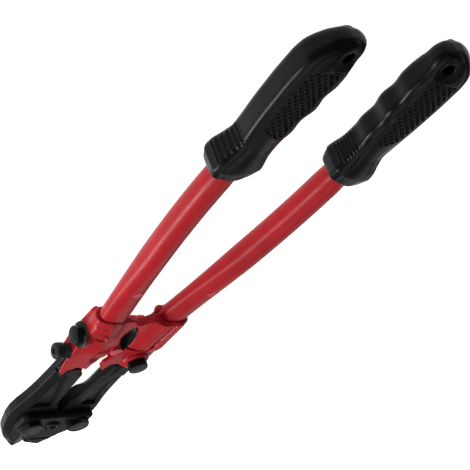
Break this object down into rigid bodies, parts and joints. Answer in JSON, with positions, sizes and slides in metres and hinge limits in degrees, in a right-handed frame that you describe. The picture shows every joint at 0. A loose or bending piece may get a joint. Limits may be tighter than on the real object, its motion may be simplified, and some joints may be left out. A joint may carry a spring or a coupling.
{
  "type": "bolt cutters",
  "caption": "Two-handed bolt cutters: black jaws held by bolted straps, red cast heads and bowed tubular handles with black moulded grips, closed.",
  "frame": {"origin": "middle of the closed tool's bounding box, on the plane where the jaws meet and half way through their thickness", "axes": "+X from the left handle to the right handle, +Y from the jaw tips to the grip ends, +Z along the pivot axes towards the front strap, which holds the hex bolt heads"},
  "size_m": [0.1122, 0.4348, 0.0276],
  "materials": {
    "paint_red": "glossy enamel on cast heads and steel tubes",
    "steel_black": "black satin lacquer on forged steel jaws and straps",
    "fastener_black": "black oxide, satin, on bolts, washers and screws",
    "rubber_black": "soft black moulded grip, matt with a faint sheen"
  },
  "bodies": {
    "straps": {"strap_front": "steel_black", "strap_back": "steel_black", "strap_screw": "fastener_black", "strap_bolt_left": "fastener_black", "strap_bolt_right": "fastener_black"},
    "jaw_left": {"jaw_left": "steel_black"},
    "jaw_right": {"jaw_right": "steel_black"},
    "handle_left": {"head_left": "paint_red", "tube_left": "paint_red", "tube_pin_left": "paint_red", "grip_left": "rubber_black", "tail_bolt_left": "fastener_black", "tail_bush_left": "fastener_black", "bumper_left": "paint_red", "flange_bolt": "fastener_black", "flange_washer": "fastener_black", "lock_nut": "fastener_black", "centre_pin": "paint_red"},
    "handle_right": {"head_right": "paint_red", "tube_right": "paint_red", "tube_pin_right": "paint_red", "grip_right": "rubber_black", "tail_bolt_right": "fastener_black", "tail_bush_right": "fastener_black", "bumper_right": "paint_red"},
    "adjuster": {"adjuster": "fastener_black"}
  },
  "joints": [
    {"name": "jaw_left_swing", "type": "hinge", "parent": "straps", "child": "jaw_left", "pos_m": [-0.0178, -0.17275, 0], "axis": [0, 0, -1], "range_deg": [0, 4]},
    {"name": "jaw_right_swing", "type": "hinge", "parent": "straps", "child": "jaw_right", "pos_m": [0.0178, -0.17275, 0], "axis": [0, 0, 1], "range_deg": [0, 4]},
    {"name": "handle_left_swing", "type": "hinge", "parent": "jaw_left", "child": "handle_left", "pos_m": [-0.019, -0.09325, 0], "axis": [0, 0, 1], "range_deg": [0, 25]},
    {"name": "handle_right_swing", "type": "hinge", "parent": "jaw_right", "child": "handle_right", "pos_m": [0.019, -0.09325, 0], "axis": [0, 0, -1], "range_deg": [0, 25]},
    {"name": "adjuster_turn", "type": "hinge", "parent": "handle_left", "child": "adjuster", "pos_m": [-0.036, -0.08925, 0], "axis": [-1, 0, 0], "range_deg": [-180, 180]}
  ],
  "couplings": [
    {"joint": "jaw_left_swing", "follows": "handle_left_swing", "ratio": 0.1294},
    {"joint": "jaw_right_swing", "follows": "handle_left_swing", "ratio": 0.1294},
    {"joint": "handle_right_swing", "follows": "handle_left_swing", "ratio": 1}
  ]
}
